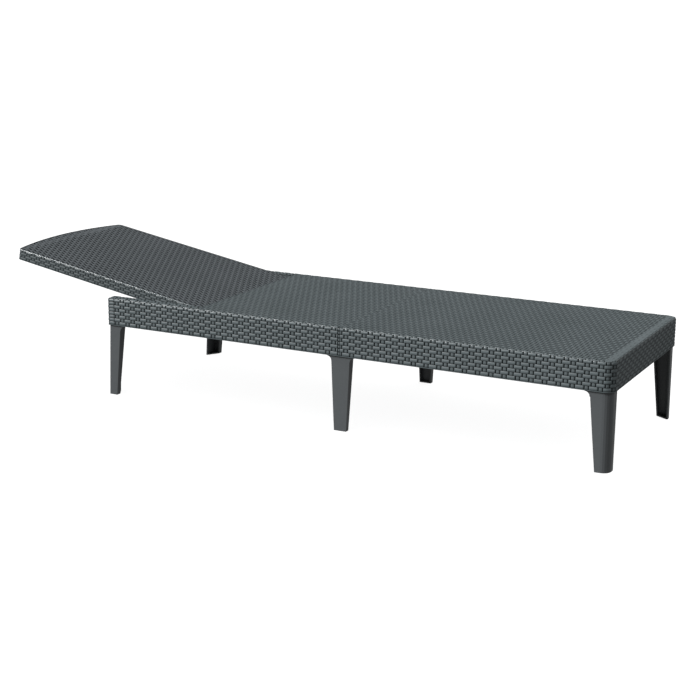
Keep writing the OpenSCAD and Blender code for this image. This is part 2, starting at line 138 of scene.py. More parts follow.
# Bands: how finely arcs are followed, how the depth of trim is turned into painted shade, how far in a
# plain spot is painted in shade, and how far below its top edge a band is wholly rubbed and stops being
# rubbed
ARC_STEP = 2.0
TRIM_SHADE = (0.3, 0.92)
SHADED_INSET = 2.0
RUBBED_WHOLE = 2.5
RUBBED_END = 4.5

# A skin's edge is rounded over BORDER. Beside a gap it is painted in shade for GAP_SHADE, for the shadow in
# the gap, and the last GAP_FADE of that fades out
BORDER = 1.3
BORDER_FALL = 0.42
FIRST_STEP = 0.5
PAST_BORDER = 1.6
GAP_SHADE = 4.6
GAP_FADE = 2.4
# Sample places from a slab's side inwards where its end is curved
CORNER_STEPS = (0.1, 0.3, 0.6, 1.0, 1.6, 2.4, 3.4, 4.6, 6.0, 8.0, 10.0, 12.5, 15.0, 17.5)


def smooth(a, b, x):
    t = np.clip((x - a) / (b - a), 0, 1)
    return t * t * (3 - 2 * t)


class Weave(NamedTuple):
    """How far from an over's middle it ends and a stake starts, and how deep in painted shade, 0 to 1, the
    gaps between them, the stakes, the lines between strands and all of it are."""

    over: float
    stake: float
    gaps: float
    stakes: float
    lines: float
    whole: float = 0.0

    def read(self, u, row, across):
        """Depth and painted shade, 0 to 1, at u along the strands, on strand number row and -1 to 1 across
        it.
        """
        x = np.abs((u / PITCH + 0.5 * row) % 1 - 0.5) * PITCH
        side = np.abs(across)
        top, to_ends, to_sides = OVER_FORM
        over = top + to_ends * (x / self.over) ** 2 + to_sides * side**4
        top, to_ends, to_sides = STAKE_FORM
        stake = top + to_ends * ((PITCH / 2 - x) / (PITCH / 2 - self.stake)) ** 2 + to_sides * side**4
        in_gap = smooth(self.over - END_BLUR, self.over + END_BLUR, x)
        in_stake = smooth(self.stake - END_BLUR, self.stake + END_BLUR, x)
        depth = over + (1 - over) * in_gap
        depth = depth + (stake - depth) * in_stake
        # Painted shade: dark in the gaps at the overs' ends, on the stakes and along the lines between
        # strands, where shade falls; whole paints all of it darker
        shade = self.gaps * in_gap + (self.stakes - self.gaps) * in_stake + self.lines * side**6
        shade = self.whole + (1 - self.whole) * shade
        return np.clip(depth, 0, 1), np.clip(shade, 0, 1)

    def steps(self):
        """Places in half a pitch that catch the ends of the overs of odd and even rows."""
        wanted = [e + d for e in (self.over, self.stake) for d in (-END_BLUR, END_BLUR)]
        wanted += PITCH_STEPS
        kept = [0.0]
        for place in sorted(wanted + [PITCH / 2 - w for w in wanted]):
            if place - kept[-1] > LEAST_PITCH_STEP:
                kept.append(place)
        return kept


# Each weave's painted shade in its gaps, stakes and lines; the skirt's whole is painted darker as well, for
# the shadow it lies in
SIDE_WEAVE = Weave(over=10.6, stake=13.5, gaps=1.0, stakes=0.15, lines=0.8)
SKIRT_WEAVE = Weave(over=10.6, stake=13.5, gaps=0.7, stakes=0.1, lines=0.8, whole=0.22)
DECK_WEAVE = Weave(over=9.2, stake=14.2, gaps=1.0, stakes=0.0, lines=0.9)
PANEL_WEAVE = Weave(over=8.2, stake=14.8, gaps=1.0, stakes=0.0, lines=0.6)


def along_steps(look, start, end, origin=0.0, extra=()):
    """Sample places from start to end that catch every over's ends, for overs centred on origin."""
    half = PITCH / 2
    first = math.floor((start - origin) / half)
    last = math.ceil((end - origin) / half)
    every = [origin + half * k + s for k in range(first, last + 1) for s in look.steps()]
    extra = [e for e in extra if start < e < end]
    near = np.array([start, end] + extra)
    inner = [e for e in every if start < e < end and np.abs(near - e).min() > LEAST_STEP]
    return np.array(sorted([start, end] + inner + extra))


def row_places(bounds, shares):
    """Sample places across rows with these bounds."""
    out = []
    for low, high in zip(bounds[:-1], bounds[1:]):
        out += [low + (high - low) * (s + 1) / 2 for s in shares]
    return np.array(out + [bounds[-1]])


def in_rows(a, bounds):
    """Row number of each place, and where it lies across that row from -1 to 1."""
    bounds = np.asarray(bounds, float)
    k = np.clip(np.searchsorted(bounds, a + TINY, side="right") - 1, 0, len(bounds) - 2)
    return k, np.clip(2 * (a - bounds[k]) / (bounds[k + 1] - bounds[k]) - 1, -1, 1)


def even_rows(start, end):
    """Bounds of equal rows from start to end, each about TOP_ROW wide."""
    return np.linspace(start, end, max(1, round((end - start) / TOP_ROW)) + 1)


# ---------------------------------------------------------------- meshes


def add_object(name, mesh, body):
    obj = bpy.data.objects.new(name, mesh)
    bpy.context.scene.collection.objects.link(obj)
    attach(obj, body)
    return obj


def outwards(points, quads, caps):
    """True if the faces of a closed mesh turn outwards."""
    a, b, c, d = (points[quads[:, i]] for i in range(4))
    volume = np.einsum("ij,ij->", a, np.cross(b, c)) + np.einsum("ij,ij->", a, np.cross(c, d))
    for cap in caps:
        p = points[cap]
        volume += np.einsum("j,ij->", p[0], np.cross(p[1:-1], p[2:]))
    return volume > 0


def sweep(name, rings, material, body, painted_shade, rubbed=None):
    """A closed skin that rides on a body, from rings of the same number of points: shape (n, m, 3).
    The painted shade and rubbed values, of shape (n, m), say how deep in painted shade and how rubbed each
    point is."""
    n, m = rings.shape[:2]
    points = rings.reshape(-1, 3)
    index = np.arange(n * m).reshape(n, m)
    a, b = index[:-1], index[1:]
    quads = np.stack([a, b, np.roll(b, -1, 1), np.roll(a, -1, 1)], -1).reshape(-1, 4)
    caps = [index[0], index[-1][::-1]]
    if not outwards(points, quads, caps):
        quads = quads[:, ::-1]
        caps = [cap[::-1] for cap in caps]
    corners = np.concatenate([quads.ravel()] + caps).astype(np.int32)
    counts = np.array([4] * len(quads) + [m] * len(caps), np.int32)
    mesh = bpy.data.meshes.new(name)
    mesh.vertices.add(len(points))
    mesh.vertices.foreach_set("co", (points * MM).astype(np.float32).ravel())
    mesh.loops.add(len(corners))
    mesh.loops.foreach_set("vertex_index", corners)
    mesh.polygons.add(len(counts))
    mesh.polygons.foreach_set("loop_start", (np.cumsum(counts) - counts).astype(np.int32))
    mesh.update(calc_edges=True)
    mesh.polygons.foreach_set("use_smooth", np.ones(len(counts), dtype=bool))
    # The painted shade and rubbed values go on the mesh as point attributes
    for word, values in (("painted_shade", painted_shade), ("rubbed", rubbed)):
        if values is not None:
            layer = mesh.attributes.new(word, "FLOAT", "POINT")
            layer.data.foreach_set("value", np.asarray(values, np.float32).ravel())
    mesh.set_sharp_from_angle(angle=math.radians(SHARP_ANGLE))
    mesh.materials.append(material)
    add_object(name, mesh, body)


def from_deck(x, y, z):
    """Deck coordinates, with x from the joint of the two halves, to the model's frame."""
    return np.stack(np.broadcast_arrays(SEAM + x, y, z), -1).astype(float)


def from_panel(p, y, z):
    """Backrest coordinates to the model's frame."""
    c, s = math.cos(TILT), math.sin(TILT)
    x = HINGE[0] - p * c + z * s
    return np.stack(np.broadcast_arrays(x, y, HINGE[2] + p * s + z * c), -1).astype(float)


def edge_fall(gap):
    """Depth, 0 to 1, that rounds a skin's edge at this distance from it."""
    return BORDER_FALL * np.clip(1 - gap / BORDER, 0, 1) ** 2


class Cloth(NamedTuple):
    """What a flat woven skin is made of and what it rides on. place(a, b, depth) gives its points."""

    place: object
    look: Weave
    relief: float
    material: object
    body: str


def slab(name, cloth, rows, span, starts="edge", ends="edge", limit=None, bend_from=None):
    """A flat woven skin. Its rows lie along a between the places in rows, with strands along b over span.
    starts and ends say what its first and last row lie at: an edge, a gap with painted shade beside it or
    the next slab.
    limit(b) is where it ends past bend_from, if that end isn't straight."""
    near_ends = [span[0] + FIRST_STEP, span[0] + BORDER, span[1] - BORDER, span[1] - FIRST_STEP]
    b = along_steps(cloth.look, span[0], span[1], extra=near_ends)
    if limit is not None:
        more = [span[1] - step for step in CORNER_STEPS]
        b = np.unique(np.round(np.concatenate([b, more, [-place for place in more]]), 4))
    a = row_places(rows, TOP_SHARES)
    a = np.concatenate([[a[0], a[0] + FIRST_STEP, a[0] + BORDER], a[a > a[0] + PAST_BORDER]])
    a = np.concatenate([a[a < a[-1] - PAST_BORDER], [a[-1] - BORDER, a[-1] - FIRST_STEP, a[-1]]])
    grid_a, grid_b = np.meshgrid(a, b, indexing="ij")
    end = np.full_like(grid_b, a[-1])
    if limit is not None:
        end = limit(grid_b)
        share = (end - bend_from) / (a[-1] - bend_from)
        grid_a = np.where(grid_a > bend_from, bend_from + (grid_a - bend_from) * share, grid_a)
    row, across = in_rows(grid_a, rows)
    depth, shade = cloth.look.read(grid_b, row, across)
    gaps = [grid_b - b[0], b[-1] - grid_b]
    for kind, away in ((starts, grid_a - a[0]), (ends, end - grid_a)):
        if kind != "next slab":
            gaps.append(away)
        # Beside a gap the skin is painted in shade, for the shadow in the gap
        if kind == "gap":
            shade = np.maximum(shade, np.clip((GAP_SHADE - away) / GAP_FADE, 0, 1))
    depth = np.maximum(depth, edge_fall(np.minimum.reduce(gaps)))
    outer = cloth.place(grid_a, grid_b, cloth.relief * depth)
    back = cloth.place(grid_a[:, [-1, 0]], grid_b[:, [-1, 0]], np.full((len(a), 2), SKIN))
    rings = np.concatenate([outer, back], 1)
    # Painted shade: the weave's own on the outer face, full painted shade on the back points
    painted_shade = np.concatenate([shade, np.ones((len(a), 2))], 1)
    sweep(name, rings, cloth.material, cloth.body, painted_shade)


class Path:
    """A plan path of lines and arcs, read by distance along it: place and outward normal."""

    def __init__(self, x, y, heading, side):
        self.parts, self.length = [], 0.0
        self.x, self.y, self.heading, self.side = x, y, heading, side

    def line(self, length):
        self.parts.append((self.length, length, 0.0, self.x, self.y, self.heading))
        self.x += length * math.cos(self.heading)
        self.y += length * math.sin(self.heading)
        self.length += length
        return self

    def arc(self, radius, turn):
        """Turns towards the inside of the path by an angle in radians."""
        length = radius * turn
        self.parts.append((self.length, length, radius, self.x, self.y, self.heading))
        sign = -self.side
        cx = self.x - sign * radius * math.sin(self.heading)
        cy = self.y + sign * radius * math.cos(self.heading)
        self.heading += sign * turn
        self.x = cx + sign * radius * math.sin(self.heading)
        self.y = cy - sign * radius * math.cos(self.heading)
        self.length += length
        return self

    def read(self, u):
        """Place and outward normal at each distance in u."""
        x, y, heading = (np.zeros_like(u) for _ in range(3))
        for start, length, radius, px, py, h in self.parts:
            on = (u >= start - TINY) & (u <= start + length + TINY)
            t = u[on] - start
            if radius:
                sign = -self.side
                now = h + sign * t / radius
                cx = px - sign * radius * math.sin(h)
                cy = py + sign * radius * math.cos(h)
                x[on] = cx + sign * radius * np.sin(now)
                y[on] = cy - sign * radius * np.cos(now)
                heading[on] = now
            else:
                x[on] = px + t * math.cos(h)
                y[on] = py + t * math.sin(h)
                heading[on] = h
        nx = -self.side * np.sin(heading)
        ny = self.side * np.cos(heading)
        return x, y, nx, ny

    def arc_steps(self, step):
        """Distances that follow the arcs in steps of about this length."""
        out = []
        for start, length, radius, *_ in self.parts:
            if radius:
                out += list(start + np.linspace(0, length, max(2, int(length / step) + 1)))
        return out


class Spot(NamedTuple):
    """A point of a band's closed section. Where relief isn't 0 it is woven: on strand number row, -1 to 1
    across it, and at most relief deep. Any other is sunk deep. Depth runs inwards by out and down by up."""

    inset: float
    height: float
    out: float = 0.0
    up: float = 0.0
    row: int = 0
    across: float = 0.0
    relief: float = 0.0
    sunk: float = 0.0


def band(name, path, profile, place, look, body, phase=0.0, trim=None, extra=(), polish=1.0):
    """A woven skin that runs along a plan path, with a section that is a list of spots.
    trim changes the weave's depth at some places, and polish is how rubbed its top edge is."""
    u = along_steps(look, 0.0, path.length, -phase, list(extra) + path.arc_steps(ARC_STEP))
    x, y, nx, ny = path.read(u)
    inset, height, out, up, row, across, relief, sunk = np.array(profile, float).T
    is_woven = relief > 0
    grid_u, grid_row = np.meshgrid(u, row, indexing="ij")
    depth, shade = look.read(grid_u + phase, grid_row, np.broadcast_to(across, grid_u.shape))
    if trim is not None:
        trimmed = trim(grid_u, np.broadcast_to(height, grid_u.shape), depth)
        # Where trim changes the depth, the painted shade follows the new depth, so grooves are painted dark
        shade = np.where(trimmed == depth, shade, smooth(*TRIM_SHADE, trimmed))
        depth = trimmed
    mm = np.where(is_woven, depth * relief, sunk)
    inward = inset + out * mm
    rings = place(
        x[:, None] - nx[:, None] * inward,
        y[:, None] - ny[:, None] * inward,
        height - up * mm,
    )
    # Plain spots deep inside and sunk grooves are painted in full shade
    in_shade = (inset > SHADED_INSET) | (sunk > 0)
    painted_shade = np.where(is_woven, shade, np.where(in_shade, 1.0, 0.0))
    rubbed = polish * smooth(-RUBBED_END, -RUBBED_WHOLE, height - height.max())
    sweep(name, rings, woven, body, painted_shade, np.broadcast_to(rubbed, painted_shade.shape))


def lip(low, radius, cut, run):
    """Spots of a section's lower edge: rounded with a radius and a cut corner, then straight up."""
    return [
        Spot(SKIN, low),
        Spot(radius, low),
        Spot(cut, low + cut),
        Spot(0.0, low + radius),
        Spot(0.0, low + run),
    ]


def wall_profile(top, edge_r, row_bounds, end_inset, edge_relief):
    """Section of a side skin: lip, woven wall, rounded edge and a strip of the top. Its last row is at
    the edge and has its own relief."""
    wall = top - edge_r - ROWS_LOW
    edge_run = edge_r * QUARTER
    spots = lip(LOW, radius=1.0, cut=0.3, run=1.8)
    for v in row_places(row_bounds, SIDE_SHARES):
        row, across = (float(x) for x in in_rows(v, row_bounds))
        relief = edge_relief if row == len(row_bounds) - 2 else SIDE_RELIEF
        if v <= wall:
            inset, height, c, s = 0.0, ROWS_LOW + v, 1, 0
        elif v <= wall + edge_run:
            c, s = math.cos((v - wall) / edge_r), math.sin((v - wall) / edge_r)
            inset, height = edge_r * (1 - c), top - edge_r * (1 - s)
        else:
            inset, height, c, s = edge_r + v - wall - edge_run, top, 0, 1
        spots.append(Spot(inset, height, c, s, row, across, relief))
    return spots + [Spot(end_inset, top - SKIN), Spot(SKIN, top - SKIN)]


def core(node, name, shift):
    """A copy of a CAD node's mesh that carries woven skins. shift(points) moves its outer faces in."""
    source = frame["nodes"][node]
    mesh = source.data.copy()
    mesh.name = name
    points = np.zeros(len(mesh.vertices) * 3, np.float32)
    mesh.vertices.foreach_get("co", points)
    points = shift(points.reshape(-1, 3).astype(float) / MM) * MM
    mesh.vertices.foreach_set("co", points.astype(np.float32).ravel())
    mesh.materials.clear()
    mesh.materials.append(moulded)
    mesh.update()
    obj = add_object(name, mesh, source["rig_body"])
    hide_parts(node)


# ---------------------------------------------------------------- materials


def new_material(name):
    """A material, its node tree and its shader."""
    material = bpy.data.materials.new(name)
    material.use_nodes = True
    tree = material.node_tree
    return material, tree, tree.nodes["Principled BSDF"]


NOISE_RANGE = (0.3, 0.7)


def noise(tree, scale, detail=2.0, stretch=None):
    """Noise with a scale in cells to the metre."""
    coords = tree.nodes.new("ShaderNodeTexCoord")
    source = coords.outputs["Object"]
    if stretch:
        mapping = tree.nodes.new("ShaderNodeMapping")
        mapping.inputs["Scale"].default_value = stretch
        tree.links.new(source, mapping.inputs["Vector"])
        source = mapping.outputs["Vector"]
    made = tree.nodes.new("ShaderNodeTexNoise")
    made.inputs["Scale"].default_value = scale
    made.inputs["Detail"].default_value = detail
    tree.links.new(source, made.inputs["Vector"])
    return made.outputs["Fac"]


def maths(tree, operation, a, b, clamp=False):
    made = tree.nodes.new("ShaderNodeMath")
    made.operation = operation
    made.use_clamp = clamp
    for socket, value in zip(made.inputs, (a, b)):
        if isinstance(value, (int, float)):
            socket.default_value = value
        else:
            tree.links.new(value, socket)
    return made.outputs[0]


def mixed(tree, factor, a, b):
    made = tree.nodes.new("ShaderNodeMix")
    made.data_type = "RGBA"
    tree.links.new(factor, made.inputs["Factor"])
    for name, value in (("A", a), ("B", b)):
        socket = next(s for s in made.inputs if s.name == name and s.type == "RGBA")
        if isinstance(value, tuple):
            socket.default_value = (*value, 1)
        else:
            tree.links.new(value, socket)
    return next(s for s in made.outputs if s.type == "RGBA")


def ranged(tree, value, low, high):
    """A noise value brought from the middle of its range to low and high."""
    made = tree.nodes.new("ShaderNodeMapRange")
    tree.links.new(value, made.inputs["Value"])
    made.inputs["From Min"].default_value, made.inputs["From Max"].default_value = NOISE_RANGE
    made.inputs["To Min"].default_value = low
    made.inputs["To Max"].default_value = high
    return made.outputs["Result"]


def bump(tree, shader, height, strength, distance):
    made = tree.nodes.new("ShaderNodeBump")
    made.inputs["Strength"].default_value = strength
    made.inputs["Distance"].default_value = distance
    tree.links.new(height, made.inputs["Height"])
    tree.links.new(made.outputs["Normal"], shader.inputs["Normal"])


# Resin: scales of its uneven tint, specks, patches of gloss and moulded grain, in cells to the metre
TINT_SCALE, SPECK_SCALE, PATCH_SCALE, GRAIN_SCALE = 7.0, 420.0, 60.0, 1500.0
SPECK_SHARE = 0.35
SPECK_SHADE = 0.78
PATCH_ROUGH = 0.05
GRAIN_DEPTH = 0.00025
SPECULAR = 0.32
RUBBED_SPECULAR = 0.25
RUBBED_ROUGH = -0.20
# Share of the dark tint left at full painted shade
PAINTED_SHADE_TONE = 0.06


def marked(tree, word):
    """The value of a mesh's attribute, 0 where it has none."""
    made = tree.nodes.new("ShaderNodeAttribute")
    made.attribute_name = word
    return made.outputs["Fac"]


def darker(colour, share):
    return tuple(c * share for c in colour)


def resin(name, light, dark, rough, grain, painted_shade_strength=0.0):
    """Moulded resin: uneven tint, fine moulded grain and satin sheen. If the painted shade strength isn't
    0, what a mesh marks as painted shade is painted that much darker and duller, and what it marks as
    rubbed is glossier."""
    material, tree, shader = new_material(name)
    tint = ranged(tree, noise(tree, TINT_SCALE, 3.0), 0.0, 1.0)
    colour = mixed(tree, tint, light, dark)
    speck = maths(tree, "MULTIPLY", ranged(tree, noise(tree, SPECK_SCALE), 0.0, 1.0), SPECK_SHARE)
    colour = mixed(tree, speck, colour, darker(dark, SPECK_SHADE))
    roughness = ranged(tree, noise(tree, PATCH_SCALE, 3.0), rough - PATCH_ROUGH, rough + PATCH_ROUGH)
    shader.inputs["Specular IOR Level"].default_value = SPECULAR
    if painted_shade_strength:
        # deep is the painted shade at a point: it paints the colour darker and the sheen duller where shade
        # falls in gaps and hollows
        deep = maths(tree, "MULTIPLY", marked(tree, "painted_shade"), painted_shade_strength, clamp=True)
        colour = mixed(tree, deep, colour, darker(dark, PAINTED_SHADE_TONE))
        rubbed = marked(tree, "rubbed")
        shine = maths(tree, "ADD", maths(tree, "MULTIPLY", rubbed, RUBBED_SPECULAR), SPECULAR)
        shine = maths(tree, "MULTIPLY", shine, maths(tree, "SUBTRACT", 1.0, deep))
        tree.links.new(shine, shader.inputs["Specular IOR Level"])
        roughness = maths(tree, "ADD", roughness, maths(tree, "MULTIPLY", rubbed, RUBBED_ROUGH))
    tree.links.new(colour, shader.inputs["Base Color"])
    tree.links.new(roughness, shader.inputs["Roughness"])
    bump(tree, shader, noise(tree, GRAIN_SCALE), grain, GRAIN_DEPTH)
    return material


woven = resin("woven_resin_skin", (0.074, 0.089, 0.094), (0.062, 0.076, 0.080), 0.52, 0.25, 0.97)
panel_woven = resin("woven_resin_backrest", (0.078, 0.088, 0.095), (0.067, 0.076, 0.082), 0.52, 0.25, 1.0)
moulded = resin("moulded_resin", (0.050, 0.060, 0.064), (0.042, 0.051, 0.055), 0.50, 0.3)
leg_resin = resin("leg_resin_smooth", (0.061, 0.066, 0.069), (0.055, 0.060, 0.063), 0.36, 0.22)
dark_plastic = resin("dark_plastic", (0.020, 0.022, 0.024), (0.015, 0.017, 0.019), 0.5, 0.3)


# Zinc plate: scales of its streaks, gloss and pits, in cells to the metre
STREAK_SCALE, GLOSS_SCALE, PIT_SCALE = 180.0, 700.0, 900.0
STREAK_STRETCH = (1, 6, 1)
PIT_DEPTH = 0.0001


def plated(name):
    """Zinc plate: streaked, with uneven gloss and faint pits."""
    material, tree, shader = new_material(name)
    streak = ranged(tree, noise(tree, STREAK_SCALE, 4.0, STREAK_STRETCH), 0.0, 1.0)
    colour = mixed(tree, streak, (0.55, 0.56, 0.58), (0.42, 0.43, 0.45))
    tree.links.new(colour, shader.inputs["Base Color"])
    rough = ranged(tree, noise(tree, GLOSS_SCALE), 0.26, 0.40)
    tree.links.new(rough, shader.inputs["Roughness"])
    shader.inputs["Metallic"].default_value = 1.0
    bump(tree, shader, noise(tree, PIT_SCALE), 0.12, PIT_DEPTH)
    return material


zinc = plated("zinc_plate")

# ---------------------------------------------------------------- frame cores and skins

# How near a point of a CAD mesh is to a face or an arc that it lies on, and how far past a tangent point
ON_FACE = 0.02
ON_ARC = 0.08
PAST = 0.001


def half_shift(end_sign, corner_r):
    """Moves a frame half's outer faces in: its deck, sides, far end and rounded corners."""

    def shift(p):
        x, y = (p[:, 0] - SEAM) * end_sign, p[:, 1]
        cx, cy = HALF_L - corner_r, HALF_W - corner_r
        dx, dy = x - cx, np.abs(y) - cy
        far = np.hypot(dx, dy)
        round_corner = (dx > PAST) & (dy > PAST) & (np.abs(far - corner_r) < ON_ARC)
        scale = np.where(round_corner, (corner_r - CORE_INSET) / np.maximum(far, TINY), 1)
        side = ~round_corner & (np.abs(y) > HALF_W - ON_FACE)
        tip = ~round_corner & (x > HALF_L - ON_FACE)
        x = np.where(round_corner, cx + dx * scale, np.where(tip, x - CORE_INSET, x))
        away = np.where(round_corner, cy + dy * scale, np.where(side, np.abs(y) - CORE_INSET, np.abs(y)))
        z = np.where(p[:, 2] > DECK - ON_FACE, p[:, 2] - CORE_INSET, p[:, 2])
        return np.stack([SEAM + x * end_sign, np.sign(y) * away, z], 1)

    return shift


core("foot_frame", "foot_frame_moulding", half_shift(1, FOOT_R))
core("head_frame", "head_frame_moulding", half_shift(-1, HEAD_R))

SIDE_ROWS = 8
edge_run = DECK - EDGE_R - ROWS_LOW + EDGE_R * QUARTER + EDGE_INSET - EDGE_R
side_rows = [k * SIDE_ROW for k in range(SIDE_ROWS + 1)] + [edge_run]
side_profile = wall_profile(DECK, EDGE_R, side_rows, EDGE_INSET, SIDE_EDGE_RELIEF)

# The bead at the joint and the border at the head corners, each with a groove, and their sample places
BEAD_W = 6.0
BORDER_W = 17.0
GROOVE_W = 1.3
JOINT_STEPS = [0.5, 1.2]
BEAD_STEPS = [3.0, 4.8, 5.6, 5.95, 6.5, 7.25, 7.4]
BORDER_STEPS = [0, 1, 3, 8, 13, 16, 16.95, 17.6, 18.25, 18.4]
HEAD_CORNER_STEPS = 12


def from_row_middle(height):
    """0 at the middle of a strand in the sides, 1 at its edges."""
    return np.abs(2 * ((height - ROWS_LOW) / SIDE_ROW % 1) - 1)


def seam_bead(gap, height, depth):
    """A braided bead down the joint of the two halves, gap mm from it."""
    across = np.clip(np.abs(gap - BEAD_W / 2) / (BEAD_W / 2), 0, 1)
    bead = np.clip(0.3 + 0.7 * from_row_middle(height) ** 2 + 0.5 * across**3, 0, 1)
    depth = np.where(gap < BEAD_W, bead, depth)
    return np.where((gap >= BEAD_W) & (gap < BEAD_W + GROOVE_W), 1.0, depth)


def head_border(gap, height, depth):
    """A ladder of wrapped bars down the head corners, gap mm from the corner."""
    across = np.clip(np.abs(gap - BORDER_W / 2) / (BORDER_W / 2), 0, 1)
    bar = 0.12 + 0.8 * from_row_middle(height) ** 4 + 0.35 * across**4
    inside = (gap >= 0) & (gap < BORDER_W)
    groove = (gap >= BORDER_W) & (gap < BORDER_W + GROOVE_W)
    return np.where(inside, bar, np.where(groove, 1.0, depth))


foot_path = Path(SEAM_GAP, -HALF_W, 0.0, -1)
foot_path.line(HALF_L - FOOT_R - SEAM_GAP).arc(FOOT_R, QUARTER)
foot_path.line(2 * (HALF_W - FOOT_R)).arc(FOOT_R, QUARTER).line(HALF_L - FOOT_R - SEAM_GAP)


def foot_trim(u, height, depth):
    """Rounds the foot half's edges at the joint."""
    return np.maximum(depth, edge_fall(np.minimum(u, foot_path.length - u)))


band(
    "foot_frame_side_weave", foot_path, side_profile, from_deck, SIDE_WEAVE, "frame", trim=foot_trim,
    extra=JOINT_STEPS + [foot_path.length - step for step in JOINT_STEPS],
)

SIDES = ((-1, "right"), (1, "left"))
HEAD_RUN = HALF_L - HEAD_R - SEAM_GAP


def head_trim(u, height, depth):
    """The bead at the joint and the border at the head corner."""
    return head_border(HEAD_RUN - u, height, seam_bead(u, height, depth))


head_steps = JOINT_STEPS + BEAD_STEPS + [HEAD_RUN - step for step in BORDER_STEPS]
head_steps += list(np.linspace(HEAD_RUN, HEAD_RUN + HEAD_R * QUARTER, HEAD_CORNER_STEPS))
for side, word in SIDES:
    path = Path(-SEAM_GAP, side * HALF_W, math.pi, -side)
    path.line(HEAD_RUN).arc(HEAD_R, QUARTER).line(HALF_W - HEAD_R - RIM_IN)
    band(
        f"head_frame_side_weave_{word}", path, side_profile, from_deck, SIDE_WEAVE, "frame",
        trim=head_trim, extra=head_steps,
    )

WALL_EDGE_R = 3
WALL_ROWS = 4
wall_run = HEAD_WALL_TOP - WALL_EDGE_R - ROWS_LOW + WALL_EDGE_R * QUARTER
wall_rows = [k * SIDE_ROW for k in range(WALL_ROWS + 1)] + [wall_run]
wall_section = wall_profile(HEAD_WALL_TOP, WALL_EDGE_R, wall_rows, WALL_EDGE_R, WALL_EDGE_RELIEF)
wall_path = Path(-HALF_L, RIM_IN, -QUARTER, -1).line(2 * RIM_IN)
band("head_wall_weave", wall_path, wall_section, from_deck, SIDE_WEAVE, "frame", phase=RIM_IN % PITCH)


def deck_place(a, b, depth):
    return from_deck(a, b, DECK - depth)


deck_half_w = HALF_W - EDGE_INSET - CLEAR
deck_end = HALF_L - EDGE_INSET - CLEAR
deck_corner = FOOT_R - EDGE_INSET
deck_bend = deck_end - 40


def deck_limit(b):
    """Where the deck ends at its rounded foot corners."""
    off = np.clip(np.abs(b) - (deck_half_w - deck_corner), 0, deck_corner)
    return deck_end - deck_corner + np.sqrt(deck_corner**2 - off**2)


deck = Cloth(deck_place, DECK_WEAVE, DECK_RELIEF, woven, "frame")
deck_span = (-deck_half_w, deck_half_w)
deck_rows = even_rows(SEAM_GAP, deck_end)
half = len(deck_rows) // 2
slab("foot_deck_weave_inner", deck, deck_rows[: half + 1], deck_span, ends="next slab")
slab("foot_deck_weave_outer", deck, deck_rows[half:], deck_span, starts="next slab",
     limit=deck_limit, bend_from=deck_bend)
slab("seat_weave", deck, even_rows(SEAT_EDGE, -SEAM_GAP), deck_span, starts="gap")

for side, word in SIDES:

    def rim_place(a, b, depth):
        return from_deck(b, side * a, DECK - depth)

    slab(f"rim_weave_{word}", deck._replace(place=rim_place), even_rows(RIM_IN, deck_half_w),
         (-HALF_L + EDGE_INSET, SEAT_EDGE - CLEAR))

# ---------------------------------------------------------------- backrest

# The skirt's top edge is a smooth bead, BEAD_IN wide and rounded outside
BEAD_IN = 3.6
BEAD_R = 1.8
SKIRT_ROWS = 4
ARCH_X = PANEL_REACH - ARCH_R
panel_bend = 565.0


def arch_parts(inset):
    """Radii of the head edge's arch and corners, and the corner's centre, when all are moved in."""
    big, small = ARCH_R - inset, PANEL_CORNER_R - inset
    corner_y = PANEL_HALF_W - inset - small
    corner_p = ARCH_X + math.sqrt((big - small) ** 2 - corner_y**2)
    return big, small, corner_y, corner_p


def panel_limit(b):
    """Where the backrest's top weave ends at its arched head edge."""
    big, small, corner_y, corner_p = arch_parts(BEAD_IN + CLEAR)
    away = np.abs(b)
    on_arch = ARCH_X + np.sqrt(big**2 - away**2)
    on_corner = corner_p + np.sqrt(np.clip(small**2 - (away - corner_y) ** 2, 0, None))
    return np.where(away * (big - small) / big <= corner_y, on_arch, on_corner)


def panel_place(a, b, depth):
    return from_panel(a, b, PANEL_TOP - depth)


def panel_shift(p):
    """Moves the backrest's outer faces in, except its tail."""
    c, s = math.cos(TILT), math.sin(TILT)
    x, z = p[:, 0] - HINGE[0], p[:, 2] - HINGE[2]
    along, up = -(x * c - z * s), x * s + z * c
    y = p[:, 1]
    away = np.abs(y)
    big, small, corner_y, corner_p = arch_parts(0.0)
    from_corner = np.hypot(along - corner_p, away - corner_y)
    from_arch = np.hypot(along - ARCH_X, away)
    past = along > corner_p + PAST
    round_corner = past & (np.abs(from_corner - small) < ON_ARC) & (away > corner_y)
    arch = past & ~round_corner & (np.abs(from_arch - big) < ON_ARC)
    k = np.where(round_corner, (small - CORE_INSET) / np.maximum(from_corner, TINY), 1.0)
    g = np.where(arch, (big - CORE_INSET) / from_arch, 1.0)
    new_along = np.where(round_corner, corner_p + (along - corner_p) * k, ARCH_X + (along - ARCH_X) * g)
    new_away = np.where(round_corner, corner_y + (away - corner_y) * k, away * g)
    side = ~round_corner & ~arch & (away > PANEL_HALF_W - ON_FACE)
    new_away = np.where(side, away - CORE_INSET, new_away)
    up = np.where(up > PANEL_TOP - ON_FACE, up - CORE_INSET, up)
    return from_panel(new_along, np.sign(y) * new_away, up)


core("backrest_panel", "backrest_moulding", panel_shift)

